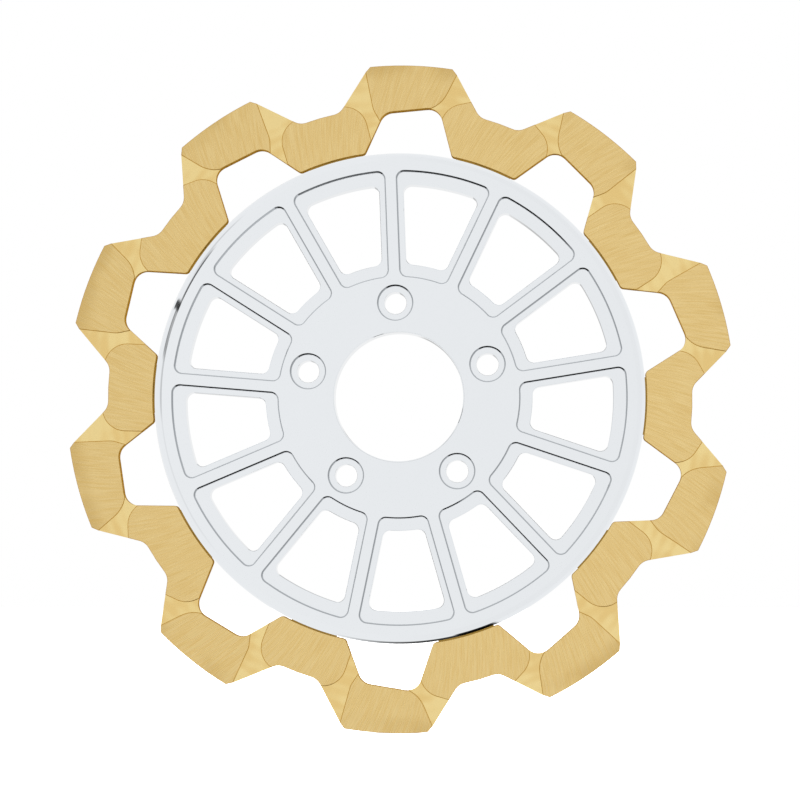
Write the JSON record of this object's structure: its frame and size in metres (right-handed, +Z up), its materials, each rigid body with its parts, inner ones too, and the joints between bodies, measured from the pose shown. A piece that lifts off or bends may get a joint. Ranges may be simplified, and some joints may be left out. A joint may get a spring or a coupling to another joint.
{
  "type": "brake disc rotor",
  "caption": "Floating motorcycle brake disc: a chromed spoked carrier holds a scalloped gold steel friction ring by screwed rear tabs.",
  "frame": {"origin": "on the disc's axis, halfway through the thickness of the carrier", "axes": "+Y along the disc's axis towards the wheel hub, so the chromed outer side faces -Y; +Z up and +X to the right as seen from the outer side"},
  "size_m": [0.2888, 0.011, 0.292],
  "materials": {
    "chrome": "mirror-polished chrome plate",
    "gold_steel": "gold-toned ground steel with a fine brushed grain",
    "zinc_steel": "plain zinc-plated steel, satin",
    "black_steel": "black oxide on socket-head screws"
  },
  "bodies": {
    "carrier_body": {"carrier": "chrome", "drive_bush_01": "zinc_steel", "drive_bush_02": "zinc_steel", "drive_bush_03": "zinc_steel", "drive_bush_04": "zinc_steel", "drive_bush_05": "zinc_steel", "drive_bush_06": "zinc_steel", "drive_bush_07": "zinc_steel", "drive_bush_08": "zinc_steel", "drive_bush_09": "zinc_steel", "drive_bush_10": "zinc_steel", "tab_screw_01": "black_steel", "tab_screw_02": "black_steel", "tab_screw_03": "black_steel", "tab_screw_04": "black_steel", "tab_screw_05": "black_steel", "tab_screw_06": "black_steel", "tab_screw_07": "black_steel", "tab_screw_08": "black_steel", "tab_screw_09": "black_steel", "tab_screw_10": "black_steel", "wave_washer_01": "zinc_steel", "wave_washer_02": "zinc_steel", "wave_washer_03": "zinc_steel", "wave_washer_04": "zinc_steel", "wave_washer_05": "zinc_steel", "wave_washer_06": "zinc_steel", "wave_washer_07": "zinc_steel", "wave_washer_08": "zinc_steel", "wave_washer_09": "zinc_steel", "wave_washer_10": "zinc_steel"},
    "ring_body": {"friction_ring": "gold_steel"}
  },
  "joints": [
    {"name": "ring_float", "type": "slide", "parent": "carrier_body", "child": "ring_body", "axis": [0, 1, 0], "range_m": [-0.0002, 0.0002], "stiffness_N_per_m": 20000}
  ]
}
